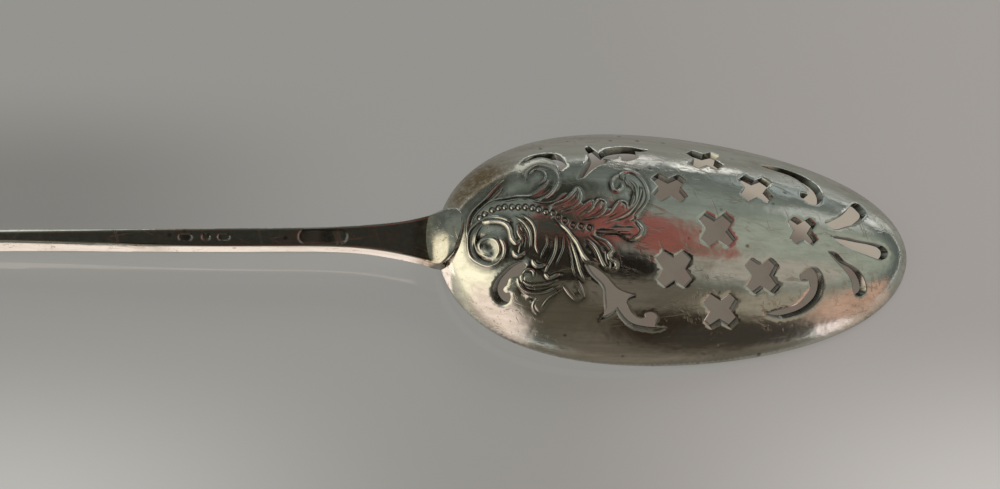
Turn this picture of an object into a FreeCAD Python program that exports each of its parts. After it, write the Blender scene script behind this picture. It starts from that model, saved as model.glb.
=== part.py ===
import FreeCAD, Part
import math
import os

from FreeCAD import Vector

# Mote spoon in silver, forged as one piece, lying face down.
# X runs along the stem to the tip of the bowl, Y across, Z up.
# The heel of the bowl, where the stem meets it, is first modelled at X = 0.
# At the end the part moves so that its origin is the middle of its length, on the table.

# Bowl, in millimetres
bowl_length = 38.0
bowl_width = 19.6
bowl_depth = 5.6
wall = 0.6
heel_rise = 2.4
relief = 0.18

# Shape of the bowl, as plain ratios
heel_fullness = 0.073
side_fullness = 0.029
heel_depth_bias = 0.115
arch_roundness = 2.25
arch_power = 0.9
flare_sweep = 3.0

# Stem and point, in millimetres
stem_length = 91.0
stem_neck_width = 1.6
stem_neck_height = 1.55
stem_end_width = 1.35
stem_near_chamfer = 0.16
stem_far_chamfer = 0.36
flare_width = 4.6
flare_length = 12.5
point_length = 10.0
point_width = 3.0
point_thickness = 2.4
point_tip_width = 0.35
barb_distance = 1.6
collar_width = 1.7
collar_length = 1.0

# Drop, the tongue of the stem that lies on the back of the bowl
drop_reach = 1.7
drop_width = 4.4
drop_thickness = 0.9
drop_sink = 0.19
drop_lean = 24.0

# Piercings, in millimetres
cross_arm = 1.56
cross_arm_end = 0.86
cross_waist = 0.87
small_cross_ratio = 0.85

# Chased ornament, in millimetres
bead_radius = 0.2
rib_end_ratio = 0.35

# Number of sections and points that draw the smooth forms
bowl_stations = 11
arch_points = 7
flare_stations = 5
blank_first_turn = math.radians(4)
hollow_first_turn = math.radians(4)


def swell(turn):
    """Half width of the bowl's plan at a turn from heel (0) to tip (pi), before scaling."""
    return math.sin(turn) + heel_fullness * math.sin(2 * turn) + side_fullness * math.sin(3 * turn)


greatest_swell = max(swell(math.pi * k / 180) for k in range(181))


class BowlForm:
    """The doubly curved form of the bowl, drawn in by an inset for its hollow side."""

    def __init__(self, inset):
        self.start = inset
        self.length = bowl_length - 2 * inset
        self.half_width = bowl_width / 2 - inset
        self.depth = bowl_depth - inset

    def turn_at(self, x):
        share = (x - self.start) / self.length
        return math.acos(1 - 2 * min(max(share, 0.0), 1.0))

    def x_at(self, turn):
        return self.start + self.length * (1 - math.cos(turn)) / 2

    def width_at(self, turn):
        return self.half_width * swell(turn) / greatest_swell

    def crest_at(self, turn):
        return self.depth * (math.sin(turn) + heel_depth_bias * math.sin(2 * turn))

    def point(self, x, y):
        """The point of the surface above plan position x, y."""
        turn = self.turn_at(x)
        across = min(abs(y) / max(self.width_at(turn), 1e-6), 1.0)
        arch = (1 - across ** arch_roundness) ** arch_power
        return Vector(x, y, rim_height(x) + self.crest_at(turn) * arch)


def rim_height(x):
    """Height of the rim, which lies flat near the tip and rises to the heel."""
    share = min(max(x / bowl_length, 0.0), 1.0)
    return heel_rise * math.cos(math.pi / 2 * share) ** 2


def spline_edge(points):
    curve = Part.BSplineCurve()
    curve.interpolate(points)
    return curve.toShape()


def bowl_solid(form, first_turn, skirt):
    """Solid under a bowl form, closed by a flat underside that a skirt lowers."""
    wires = []
    last_turn = math.pi - first_turn
    for station in range(bowl_stations):
        turn = first_turn + (last_turn - first_turn) * station / (bowl_stations - 1)
        x = form.x_at(turn)
        half = form.width_at(turn)
        arch = []
        for k in range(arch_points):
            y = -half * math.cos(math.pi * k / (arch_points - 1))
            arch.append(form.point(x, y))
        edges = [spline_edge(arch)]
        corners = [arch[-1]]
        if skirt > 0:
            corners.append(arch[-1] - Vector(0, 0, skirt))
            corners.append(arch[0] - Vector(0, 0, skirt))
        corners.append(arch[0])
        for start, end in zip(corners, corners[1:]):
            edges.append(Part.LineSegment(start, end).toShape())
        wires.append(Part.Wire(edges))
    return Part.makeLoft(wires, True, False)


outer_form = BowlForm(0.0)
inner_form = BowlForm(wall)
blank = bowl_solid(outer_form, blank_first_turn, 0.0)
hollow = bowl_solid(inner_form, hollow_first_turn, 2 * wall)
bowl = blank.cut(hollow)


def on_back(along, across):
    """Point on the back of the bowl, along and across in hundredths of length and half width."""
    return outer_form.point(bowl_length * along / 100, bowl_width / 2 * across / 100)


def tangent_frame(along, across):
    """Origin, two tangents and outward normal of the back at a place."""
    step = 0.2
    origin = on_back(along, across)
    lengthwise = (on_back(along + step, across) - on_back(along - step, across)).normalize()
    crosswise = (on_back(along, across + step) - on_back(along, across - step)).normalize()
    normal = lengthwise.cross(crosswise).normalize()
    return origin, lengthwise, normal.cross(lengthwise).normalize(), normal


def piercing(frame, loop_edges):
    """Cutter with the outline of a closed loop, square to the sheet."""
    normal = frame[3]
    face = Part.Face(Part.Wire(loop_edges))
    face.translate(normal * (-3 * wall))
    return face.extrude(normal * (6 * wall))


def flattened(frame, point):
    """A point moved along the frame's normal into its tangent plane."""
    origin, first, second, normal = frame
    offset = point - origin
    return origin + first * offset.dot(first) + second * offset.dot(second)


def slot(stretches, mirrored=False, ahead=0.0, outward=0.0):
    """Cutter for a scroll slot. Each stretch is a smooth run of places; corners fall between runs."""
    side = -1 if mirrored else 1
    runs = []
    for stretch in stretches:
        runs.append([(a + ahead, side * c + outward) for a, c in stretch])
    places = [place for run in runs for place in run]
    middle_along = sum(place[0] for place in places) / len(places)
    middle_across = sum(place[1] for place in places) / len(places)
    frame = tangent_frame(middle_along, middle_across)
    edges = []
    for index, run in enumerate(runs):
        following = runs[(index + 1) % len(runs)]
        points = [flattened(frame, on_back(a, c)) for a, c in run + [following[0]]]
        if len(points) > 2:
            edges.append(spline_edge(points))
        else:
            edges.append(Part.LineSegment(points[0], points[1]).toShape())
    return piercing(frame, edges)


def cross_cutter(along, across, turn_degrees, ratio):
    """Cutter for a saltire cross: four blunt arms with a notch between each pair."""
    frame = tangent_frame(along, across)
    origin, first, second, normal = frame
    corners = []
    for quarter in range(4):
        arm = math.radians(45 + 90 * quarter + turn_degrees)
        gap = arm + math.radians(45)
        reach = Vector(math.cos(arm), math.sin(arm), 0) * cross_arm
        side = Vector(-math.sin(arm), math.cos(arm), 0) * (cross_arm_end / 2)
        notch = Vector(math.cos(gap), math.sin(gap), 0) * cross_waist
        corners += [reach - side, reach + side, notch]
    corners = [origin + (first * p.x + second * p.y) * ratio for p in corners]
    edges = []
    for start, end in zip(corners, corners[1:] + corners[:1]):
        edges.append(Part.LineSegment(start, end).toShape())
    return piercing(frame, edges)


# Eight crosses: two on the axis and three pairs, placed by eye as on the real bowl
crosses = [
    (57.3, -1.0, 3, 1.0),
    (76.0, 4.5, 2, small_cross_ratio),
    (47.7, 34.3, 0, 1.0),
    (48.0, -35.5, 3, 1.0),
    (66.5, 40.6, 1, 1.0),
    (66.8, -35.5, 5, 1.0),
    (56.4, 68.7, 3, 1.0),
    (58.0, -63.5, 5, 1.0),
]

crescent = [
    [(17.4, 58.0), (18.5, 64.0), (21.7, 68.8), (25.0, 67.0), (26.0, 62.0)],
    [(26.6, 53.0), (25.3, 49.0), (24.1, 60.0), (21.5, 65.2), (19.4, 62.5)],
]
heel_scroll = [
    [(17.7, -33.0), (15.6, -31.0), (12.9, -37.0), (11.0, -46.2), (11.4, -54.6), (13.1, -59.2), (14.6, -55.0)],
    [(14.4, -51.6), (13.1, -48.8), (14.2, -42.2), (16.4, -39.8)],
]
lower_fleur = [
    [(29.6, -33.8), (32.5, -38.7), (35.2, -48.2), (37.6, -53.8)],
    [(40.1, -55.9), (38.1, -60.4), (39.6, -68.8), (42.2, -69.9)],
    [(42.1, -67.8), (43.5, -67.0), (44.7, -70.4), (44.2, -75.5)],
    [(46.5, -76.5), (42.1, -78.9), (39.2, -76.8), (37.0, -70.5)],
    [(36.0, -65.8), (34.9, -69.4)],
    [(32.7, -73.2), (33.7, -66.0), (33.2, -50.6), (30.9, -41.8)],
]
upper_fleur = [
    [(28.8, 39.5), (30.5, 53.9), (31.6, 67.1), (31.4, 76.6)],
    [(32.1, 78.0), (32.9, 72.4)],
    [(33.7, 67.8), (36.6, 75.5), (40.9, 77.2), (42.5, 75.6)],
    [(44.4, 74.4), (42.6, 72.2)],
    [(41.6, 72.5), (41.0, 62.8), (39.7, 61.0)],
    [(38.4, 60.5), (38.6, 64.7)],
    [(38.0, 67.1), (37.3, 63.9)],
    [(36.2, 63.5)],
    [(35.0, 63.5), (34.5, 61.1)],
    [(35.5, 59.4)],
    [(35.0, 57.0), (32.3, 50.6), (29.8, 40.5)],
]
tip_scroll = [
    [(67.5, -63.0), (73.4, -62.3), (77.9, -53.3), (80.0, -38.3), (77.5, -25.2), (75.0, -32.6)],
    [(75.2, -36.3)],
    [(76.4, -35.8)],
    [(76.9, -35.1), (76.4, -45.9), (73.3, -55.5)],
]
# The scroll above the axis is the lower one mirrored, a little nearer the tip and farther out
upper_scroll_ahead = 1.2
upper_scroll_outward = 5.0

upper_ray = [
    [(81.2, 14.3), (83.4, 18.3), (85.4, 24.6), (87.0, 31.8)],
    [(87.8, 36.1), (89.2, 39.1), (90.9, 30.3), (87.9, 16.7)],
    [(83.0, 9.4)],
]
middle_ray = [
    [(82.2, 2.9), (88.7, 2.0)],
    [(93.9, 0.5), (94.9, -2.6), (93.7, -11.1)],
    [(91.9, -10.9), (88.5, -8.0)],
    [(85.3, -4.4)],
]
lower_ray = [
    [(81.3, -10.5), (84.7, -17.1), (88.8, -26.5), (89.7, -38.0), (88.5, -41.8), (87.1, -38.7), (85.6, -26.7),
     (82.4, -15.2)],
]

cutters = [cross_cutter(*place) for place in crosses]
cutters.append(slot(crescent))
cutters.append(slot(heel_scroll))
cutters.append(slot(lower_fleur))
cutters.append(slot(upper_fleur))
cutters.append(slot(tip_scroll))
cutters.append(slot(tip_scroll, mirrored=True, ahead=upper_scroll_ahead, outward=upper_scroll_outward))
cutters.append(slot(upper_ray))
cutters.append(slot(middle_ray))
cutters.append(slot(lower_ray))
bowl = bowl.cut(cutters)


def standing(frame, face):
    """Column on a flat face, from the middle of the sheet to clear above the ornament."""
    normal = frame[3]
    face.translate(normal * (-wall / 2))
    return face.extrude(normal * (wall / 2 + 4 * relief))


def rib(width, places):
    """Column under a rib of the ornament: widest at its middle, narrow at both ends."""
    middle = places[len(places) // 2]
    frame = tangent_frame(*middle)
    normal = frame[3]
    line = [flattened(frame, on_back(a, c)) for a, c in places]
    near_side = []
    far_side = []
    for index, point in enumerate(line):
        ahead = line[min(index + 1, len(line) - 1)] - line[max(index - 1, 0)]
        share = math.sin(math.pi * index / (len(line) - 1))
        half = width / 2 * (rib_end_ratio + (1 - rib_end_ratio) * share)
        offset = normal.cross(ahead).normalize() * half
        near_side.append(point + offset)
        far_side.append(point - offset)
    far_side.reverse()
    edges = [
        spline_edge(near_side),
        Part.LineSegment(near_side[-1], far_side[0]).toShape(),
        spline_edge(far_side),
        Part.LineSegment(far_side[-1], near_side[0]).toShape(),
    ]
    return standing(frame, Part.Face(Part.Wire(edges)))


def bead(along, across):
    frame = tangent_frame(along, across)
    circle = Part.Circle(frame[0], frame[3], bead_radius)
    return standing(frame, Part.Face(Part.Wire([circle.toShape()])))


# Ribs of the acanthus scroll, each with its width and its places from root to tip
ribs = [
    (0.34, [(13.5, 41.2), (10.2, 27.0), (7.2, 15.0), (6.0, 2.0)]),
    (0.32, [(21.0, 19.5), (24.6, 38.3), (22.4, 53.6), (18.3, 46.3)]),
    (0.36, [(7.0, 0.5), (6.4, -14.0), (10.2, -30.9), (13.1, -18.0)]),
    (0.40, [(9.5, 5.4), (12.1, 4.2), (14.1, -1.8), (14.8, -11.0), (16.2, -15.6)]),
    (0.28, [(21.7, -10.5), (21.8, -17.8), (21.0, -23.9), (19.8, -31.5)]),
    (0.28, [(23.7, -11.6), (23.6, -20.4), (23.0, -28.1), (21.9, -36.7)]),
    (0.28, [(26.0, -10.5), (26.7, -17.8), (27.4, -26.7), (28.3, -38.7)]),
    (0.44, [(25.4, -5.5), (27.7, -14.9), (29.3, -25.2), (31.0, -32.8)]),
    (0.34, [(32.2, -13.4), (34.9, -21.5), (35.6, -34.0)]),
    (0.40, [(38.4, 45.6), (42.3, 37.5), (43.0, 22.3), (40.3, 4.8)]),
    (0.40, [(40.3, 0.2), (41.4, -5.8), (38.6, -14.5)]),
    (0.30, [(23.7, 15.0), (28.4, 27.8), (28.9, 18.1), (27.0, 11.7)]),
    (0.30, [(29.6, 7.6), (31.6, 13.0), (33.2, 18.6), (34.1, 12.9), (32.6, 5.5)]),
    (0.30, [(35.2, 8.8), (36.8, 16.9), (38.4, 13.7)]),
    (0.30, [(18.6, -37.3), (16.8, -41.5), (19.4, -47.0), (23.4, -44.9)]),
]

# Row of beads along the midrib of the scroll
beads = [
    (8.6, 8.6), (9.6, 11.5), (11.1, 14.2), (12.4, 15.3), (13.6, 15.6), (15.1, 15.0),
    (16.4, 14.5), (17.8, 14.1), (19.2, 12.9), (20.4, 11.3), (21.8, 8.9), (23.2, 7.4),
    (24.3, 3.8), (25.6, 0.8), (27.2, -3.1), (28.8, -4.0), (30.5, -5.2),
]

raised = bowl_solid(BowlForm(-relief), blank_first_turn, 0.0)
columns = [rib(width, places) for width, places in ribs]
columns += [bead(along, across) for along, across in beads]
ornament = raised.common(columns)


def chamfered_section(centre, width, height, chamfer):
    """Closed upright section of the stem: a rectangle with its four corners taken off."""
    across = width / 2
    upward = height / 2
    corners = [
        (across - chamfer, upward),
        (across, upward - chamfer),
        (across, chamfer - upward),
        (across - chamfer, -upward),
        (chamfer - across, -upward),
        (-across, chamfer - upward),
        (-across, upward - chamfer),
        (chamfer - across, upward),
    ]
    points = [centre + Vector(0, y, z) for y, z in corners]
    return Part.makePolygon(points + points[:1])


overall_reach = stem_length + point_length
stem_fall = heel_rise / overall_reach


def underside(x):
    """Height of the underside of the stem, a straight line from the heel down to the point."""
    return heel_rise + stem_fall * x


def stem_section(x, width, height, chamfer):
    return chamfered_section(Vector(x, 0, underside(x) + height / 2), width, height, chamfer)


# Shank: nearly eight-sided at the far end, square with narrow chamfers where the flare begins
shank = Part.makeLoft([
    stem_section(-stem_length, stem_end_width, stem_end_width, stem_far_chamfer),
    stem_section(-flare_length, stem_neck_width, stem_neck_height, stem_near_chamfer),
], True, True)

# Flare: widens to the heel and ends inside the heel wall
flare_sections = []
for station in range(flare_stations):
    share = station / (flare_stations - 1)
    width = stem_neck_width + (flare_width - stem_neck_width) * share ** flare_sweep
    x = -flare_length + (flare_length + wall) * share
    flare_sections.append(stem_section(x, width, stem_neck_height, stem_near_chamfer))
flare = Part.makeLoft(flare_sections, True, False)

# Drop: a flattened egg that leans up the back of the bowl
drop = Part.makeSphere(1.0)
stretch = FreeCAD.Matrix()
stretch.scale(drop_reach, drop_width / 2, drop_thickness)
drop = drop.transformGeometry(stretch)
drop.rotate(Vector(0, 0, 0), Vector(0, 1, 0), -drop_lean)
drop.translate(Vector(0, 0, heel_rise + stem_neck_height - drop_sink))


def lozenge(x, width, thickness):
    """Four-sided section of the point, its lowest edge on the line of the underside."""
    middle = Vector(x, 0, underside(x) + thickness / 2)
    corners = [
        middle + Vector(0, width / 2, 0),
        middle + Vector(0, 0, thickness / 2),
        middle - Vector(0, width / 2, 0),
        middle - Vector(0, 0, thickness / 2),
    ]
    return Part.makePolygon(corners + corners[:1])


# Point: a four-sided spear with its barbs near the stem, behind a plain collar
spear = Part.makeLoft([
    lozenge(-stem_length + wall, stem_end_width, stem_end_width),
    lozenge(-stem_length - barb_distance, point_width, point_thickness),
    lozenge(-overall_reach, point_tip_width, point_tip_width),
], True, True)
collar = Part.makeCylinder(
    collar_width / 2,
    collar_length,
    Vector(-stem_length, 0, underside(-stem_length) + stem_end_width / 2),
    Vector(1, 0, 0),
)

spoon = bowl.fuse([flare, drop, shank, spear, collar] + ornament.Solids)

# The origin moves to the middle of the length, at the height of the table
spoon.translate(Vector((overall_reach - bowl_length) / 2, 0, 0))

os.makedirs("parts", exist_ok=True)
spoon.exportStep("parts/mote_spoon.step")
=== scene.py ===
import math

import bpy
import numpy as np
from mathutils import Matrix, Vector, geometry


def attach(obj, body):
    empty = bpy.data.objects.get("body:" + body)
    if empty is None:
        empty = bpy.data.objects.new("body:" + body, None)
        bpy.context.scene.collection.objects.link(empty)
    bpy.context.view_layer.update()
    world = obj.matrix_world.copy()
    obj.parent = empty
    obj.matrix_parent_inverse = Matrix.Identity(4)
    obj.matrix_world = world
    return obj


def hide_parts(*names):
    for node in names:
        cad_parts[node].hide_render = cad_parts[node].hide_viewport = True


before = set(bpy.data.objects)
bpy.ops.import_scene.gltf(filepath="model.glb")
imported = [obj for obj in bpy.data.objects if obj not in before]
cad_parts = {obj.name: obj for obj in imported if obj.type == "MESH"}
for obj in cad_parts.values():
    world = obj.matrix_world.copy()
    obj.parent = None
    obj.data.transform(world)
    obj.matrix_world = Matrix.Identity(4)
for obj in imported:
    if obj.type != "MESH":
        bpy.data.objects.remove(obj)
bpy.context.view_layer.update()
print("frame loaded")

# The lengths below are millimetres, with the heel of the bowl at x = 0. The meshes go to metres at the end.
heelPlace = 31.5  # where the heel stands on the frame's x axis


def smooth(low, high, value):
    t = np.clip((value - low) / (high - low), 0, 1)
    return t * t * (3 - 2 * t)


def spline(points, step):  # natural cubic spline through the points
    points = np.asarray(points, float)
    if len(points) == 2:
        count = max(int(np.linalg.norm(points[1] - points[0]) / step), 1)
        return points[0] + np.linspace(0, 1, count + 1)[:, None] * (points[1] - points[0])
    gaps = np.linalg.norm(np.diff(points, axis=0), axis=1)
    knots = np.concatenate([[0], np.cumsum(gaps)])
    n = len(points)
    matrix = np.eye(n)
    right = np.zeros((n, points.shape[1]))
    for i in range(1, n - 1):
        matrix[i, i - 1:i + 2] = gaps[i - 1], 2 * (gaps[i - 1] + gaps[i]), gaps[i]
        right[i] = 6 * ((points[i + 1] - points[i]) / gaps[i] - (points[i] - points[i - 1]) / gaps[i - 1])
    bend = np.linalg.solve(matrix, right)
    places = np.linspace(0, knots[-1], max(int(knots[-1] / step), 2) + 1)
    i = np.clip(np.searchsorted(knots, places, side="right") - 1, 0, n - 2)
    h = gaps[i][:, None]
    a = (knots[i + 1] - places)[:, None]
    b = (places - knots[i])[:, None]
    return (bend[i] * a ** 3 + bend[i + 1] * b ** 3) / (6 * h) \
        + (points[i] / h - bend[i] * h / 6) * a + (points[i + 1] / h - bend[i + 1] * h / 6) * b


def pathDistance(points, path, reach):  # distance to the path, and how far along it
    distance = np.full(len(points), float(reach))
    along = np.zeros(len(points))
    near = np.nonzero(((points > path.min(0) - reach) & (points < path.max(0) + reach)).all(1))[0]
    if not len(near):
        return distance, along, 0.0
    best = distance[near]
    place = along[near]
    inside = points[near]
    run = 0.0
    for start, end in zip(path[:-1], path[1:]):
        piece = end - start
        length = np.linalg.norm(piece)
        if length < 1e-9:
            continue
        t = np.clip((inside - start) @ piece / length ** 2, 0, 1)
        d = np.linalg.norm(inside - start - t[:, None] * piece, axis=1)
        closer = d < best
        best[closer] = d[closer]
        place[closer] = run + t[closer] * length
        run += length
    distance[near] = best
    along[near] = place
    return distance, along, run


def insideLoop(points, loop):
    inside = np.zeros(len(points), bool)
    near = np.nonzero(((points > loop.min(0)) & (points < loop.max(0))).all(1))[0]
    x, y = points[near].T
    odd = np.zeros(len(near), bool)
    for (x0, y0), (x1, y1) in zip(loop, np.roll(loop, -1, axis=0)):
        if y0 != y1:
            odd ^= ((y0 > y) != (y1 > y)) & (x < (x1 - x0) * (y - y0) / (y1 - y0) + x0)
    inside[near] = odd
    return inside


def ringFaces(rings, flip=False, capped=True):
    count = len(rings[0])
    faces = []
    for i in range(len(rings) - 1):
        for k in range(count):
            n = (k + 1) % count
            face = (i * count + k, i * count + n, (i + 1) * count + n, (i + 1) * count + k)
            faces.append(face[:1] + face[:0:-1] if flip else face)
    if capped:
        first, last = tuple(range(count)), tuple((len(rings) - 1) * count + k for k in range(count))
        faces += [first, last[::-1]] if flip else [first[::-1], last]
    return faces


def addObject(name, data):
    made = bpy.data.objects.new(name, data)
    bpy.context.scene.collection.objects.link(made)
    return made


def makePiece(name, vertices, faces, recess=0.0, stain=0.0, sharpEdges=(), smoothAngle=None):
    mesh = bpy.data.meshes.new(name)
    places = (np.asarray(vertices) + (heelPlace, 0, 0)) / 1000
    mesh.from_pydata([tuple(p) for p in places.tolist()], [], faces)
    mesh.shade_smooth()
    if smoothAngle:
        mesh.set_sharp_from_angle(angle=math.radians(smoothAngle))
    if len(sharpEdges):
        wanted = {(min(a, b), max(a, b)) for a, b in sharpEdges}
        ends = np.zeros(len(mesh.edges) * 2, int)
        mesh.edges.foreach_get("vertices", ends)
        flags = [(min(a, b), max(a, b)) in wanted for a, b in ends.reshape(-1, 2).tolist()]
        attribute = mesh.attributes.get("sharp_edge") or mesh.attributes.new("sharp_edge", "BOOLEAN", "EDGE")
        attribute.data.foreach_set("value", flags)
    for key, values in (("recess", recess), ("stain", stain)):
        attribute = mesh.attributes.new(key, "FLOAT", "POINT")
        attribute.data.foreach_set("value", np.zeros(len(vertices)) + values)
    mesh.materials.append(silver)
    piece = addObject(name, mesh)
    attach(piece, "root")
    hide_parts("mote_spoon")


def newGroup(name, inputs, outputs):
    group = bpy.data.node_groups.new(name, "ShaderNodeTree")
    for label, value in inputs:
        socket = group.interface.new_socket(name=label, in_out="INPUT", socket_type=socketKinds[type(value)])
        socket.default_value = value
    for label in outputs:
        group.interface.new_socket(name=label, in_out="OUTPUT", socket_type="NodeSocketFloat")
    return group, group.nodes.new("NodeGroupInput").outputs, group.nodes.new("NodeGroupOutput").inputs


socketKinds = {float: "NodeSocketFloat", tuple: "NodeSocketVector"}


def node(tree, kind, links=None, **settings):
    made = tree.nodes.new(kind)
    for key, value in settings.items():
        setattr(made, key, value)
    for key, source in (links or {}).items():
        socket = made.inputs[key]
        if isinstance(source, bpy.types.NodeSocket):
            tree.links.new(source, socket)
        else:
            socket.default_value = source
    return made


def maths(tree, operation, first, second=0.0, clamp=False):
    links = {0: first, 1: second}
    return node(tree, "ShaderNodeMath", links, operation=operation, use_clamp=clamp).outputs[0]


def vectors(tree, operation, first, second=(0.0, 0.0, 0.0)):
    return node(tree, "ShaderNodeVectorMath", {0: first, 1: second}, operation=operation).outputs[0]


def rangeOf(tree, value, low, high, outLow=0.0, outHigh=1.0):
    links = {"Value": value, "From Min": low, "From Max": high, "To Min": outLow, "To Max": outHigh}
    return node(tree, "ShaderNodeMapRange", links, interpolation_type="SMOOTHSTEP").outputs["Result"]


def mixColour(tree, factor, first, second):
    return node(tree, "ShaderNodeMix", {"Factor": factor, 6: first, 7: second}, data_type="RGBA").outputs[2]


def noise(tree, place, scale, detail=2.0, roughness=0.5, distortion=0.0):
    links = {"Vector": place, "Scale": scale, "Detail": detail, "Roughness": roughness}
    return node(tree, "ShaderNodeTexNoise", {**links, "Distortion": distortion}).outputs["Fac"]


def objectPlace(tree):
    return node(tree, "ShaderNodeTexCoord").outputs["Object"]


def grouped(tree, group, **values):
    return node(tree, "ShaderNodeGroup", values, node_tree=group).outputs


def newMaterial(name):
    material = bpy.data.materials.new(name)
    material.use_nodes = True
    return material, material.node_tree, material.node_tree.nodes["Principled BSDF"].inputs


def scratchGroup():
    inputs = [("Direction", 0.4), ("Spacing", 900.0), ("Amount", 0.5)]
    group, given, out = newGroup("fineScratches", inputs, ["Lines"])
    place = objectPlace(group)
    total = 0.0
    for turn, stretchBy, offset in ((0.0, 0.035, 0.0), (0.9, 0.05, 3.1), (-0.55, 0.04, 7.7)):
        angle = node(group, "ShaderNodeCombineXYZ", {"Z": maths(group, "ADD", given["Direction"], turn)})
        turned = node(group, "ShaderNodeVectorRotate", {"Vector": place, "Rotation": angle.outputs[0]},
                      rotation_type="EULER_XYZ")
        stretched = vectors(group, "MULTIPLY", turned.outputs[0], (stretchBy, 1.0, 1.0))
        moved = vectors(group, "ADD", stretched, (offset, offset, 0.0))
        line = rangeOf(group, noise(group, moved, given["Spacing"], 2.0, 0.6), 0.615, 0.675)
        total = maths(group, "MAXIMUM", total, line)
    patchy = rangeOf(group, noise(group, place, 260.0), 0.4, 0.62)
    total = maths(group, "MULTIPLY", total, patchy)
    group.links.new(maths(group, "MULTIPLY", total, given["Amount"]), out["Lines"])
    return group


def cloudGroup():
    inputs = [("Scale", 160.0), ("Cover", 0.5)]
    group, given, out = newGroup("tarnishClouds", inputs, ["Cloud", "Spots", "Grain"])
    place = objectPlace(group)
    edge = maths(group, "SUBTRACT", 1.0, given["Cover"])
    cloud = noise(group, place, given["Scale"], 6.0, 0.62, 0.6)
    group.links.new(rangeOf(group, cloud, edge, maths(group, "ADD", edge, 0.3)), out["Cloud"])
    cells = node(group, "ShaderNodeTexVoronoi", {"Vector": place, "Scale": 900.0, "Randomness": 1.0})
    dots = rangeOf(group, cells.outputs["Distance"], 0.22, 0.1)
    sparse = rangeOf(group, noise(group, place, 420.0, 1.0), 0.56, 0.64)
    group.links.new(maths(group, "MULTIPLY", dots, sparse), out["Spots"])
    group.links.new(noise(group, place, 2600.0, 4.0, 0.7), out["Grain"])
    return group


def streakGroup():
    inputs = [("Scale", 1500.0), ("Stretch", 0.09)]
    group, given, out = newGroup("wipedStreaks", inputs, ["Streaks", "Waves"])
    place = objectPlace(group)
    turned = node(group, "ShaderNodeVectorRotate", {"Vector": place, "Angle": 0.05}, rotation_type="Z_AXIS")
    squeeze = node(group, "ShaderNodeCombineXYZ", {"X": given["Stretch"], "Y": 1.0, "Z": 1.0})
    stretched = vectors(group, "MULTIPLY", turned.outputs[0], squeeze.outputs[0])
    streaks = rangeOf(group, noise(group, stretched, given["Scale"], 4.0, 0.65), 0.38, 0.66)
    group.links.new(streaks, out["Streaks"])
    group.links.new(noise(group, place, 330.0, 3.0), out["Waves"])
    return group


silverLook = {
    "clean": (0.84, 0.83, 0.79, 1.0),
    "dull": (0.52, 0.50, 0.43, 1.0),
    "brown": (0.30, 0.21, 0.11, 1.0),
    # also the colour of the painted shadow line where the drop meets the bowl
    "soot": (0.03, 0.026, 0.02, 1.0),
    "cloudCover": 0.52,
    "cloudStrength": 0.5,
    "streakStrength": 0.38,
    "roughness": (0.11, 0.24),  # where it is clean, and where it is dull
    "recessRoughness": 0.08,
    "scratchSpacing": 2400.0,
    "scratchBrown": 0.3,
    "scratchRoughness": 0.14,
    "spotSoot": 0.6,
    "unevenness": 0.00006,
    "scratchDepth": 0.000009,
    # shares of the scratch depth
    "heights": {"Grain": 0.3, "Lines": -0.9, "Spots": -0.8, "Streaks": 0.35},
}


def silverMaterial():
    look = silverLook
    material, tree, shader = newMaterial("wornSilver")
    shader["Metallic"].default_value = 1.0
    lines = grouped(tree, scratchGroup(), Spacing=look["scratchSpacing"], Amount=1.0)
    masks = {**lines, **grouped(tree, clouds, Cover=look["cloudCover"]), **grouped(tree, streakGroup())}
    recess, stain = (node(tree, "ShaderNodeAttribute", attribute_name=name).outputs["Fac"]
                     for name in ("recess", "stain"))
    dullness = maths(tree, "ADD", maths(tree, "MULTIPLY", masks["Cloud"], look["cloudStrength"]),
                     maths(tree, "MULTIPLY", masks["Streaks"], look["streakStrength"]), clamp=True)
    stained = maths(tree, "MULTIPLY", stain, rangeOf(tree, masks["Grain"], 0.3, 0.6, 0.45, 1.0))
    # The recess attribute darkens toward the soot colour: tarnish in the chased hollows, the punches and on
    # the stem's back, darker piercing walls and edges, and painted shade as a shadow line where the drop
    # meets the bowl.
    sootAndPaintedShade = rangeOf(tree, masks["Grain"], 0.25, 0.6, 0.75, 1.0)
    sootAndPaintedShade = maths(tree, "MULTIPLY", recess, sootAndPaintedShade, clamp=True)
    scratched = maths(tree, "MULTIPLY", masks["Lines"], look["scratchBrown"])
    spotted = maths(tree, "MULTIPLY", masks["Spots"], look["spotSoot"])
    colour = mixColour(tree, dullness, look["clean"], look["dull"])
    for mask, shade in ((stained, "brown"), (sootAndPaintedShade, "soot"), (scratched, "brown"), (spotted, "soot")):
        colour = mixColour(tree, mask, colour, look[shade])
    tree.links.new(colour, shader["Base Color"])
    rough = rangeOf(tree, dullness, 0.0, 1.0, *look["roughness"])
    for mask, strength in ((recess, look["recessRoughness"]), (masks["Lines"], look["scratchRoughness"])):
        rough = maths(tree, "ADD", rough, maths(tree, "MULTIPLY", mask, strength), clamp=True)
    tree.links.new(rough, shader["Roughness"])
    uneven = node(tree, "ShaderNodeBump", {"Strength": 1.0, "Distance": look["unevenness"],
                                           "Height": masks["Waves"]})
    height = 0.0
    for key, share in look["heights"].items():
        height = maths(tree, "ADD", height, maths(tree, "MULTIPLY", masks[key], share))
    bump = node(tree, "ShaderNodeBump", {"Strength": 0.5, "Distance": look["scratchDepth"], "Height": height,
                                         "Normal": uneven.outputs["Normal"]})
    tree.links.new(bump.outputs["Normal"], shader["Normal"])
    return material


clouds = cloudGroup()
silver = silverMaterial()
print("materials made")


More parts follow.
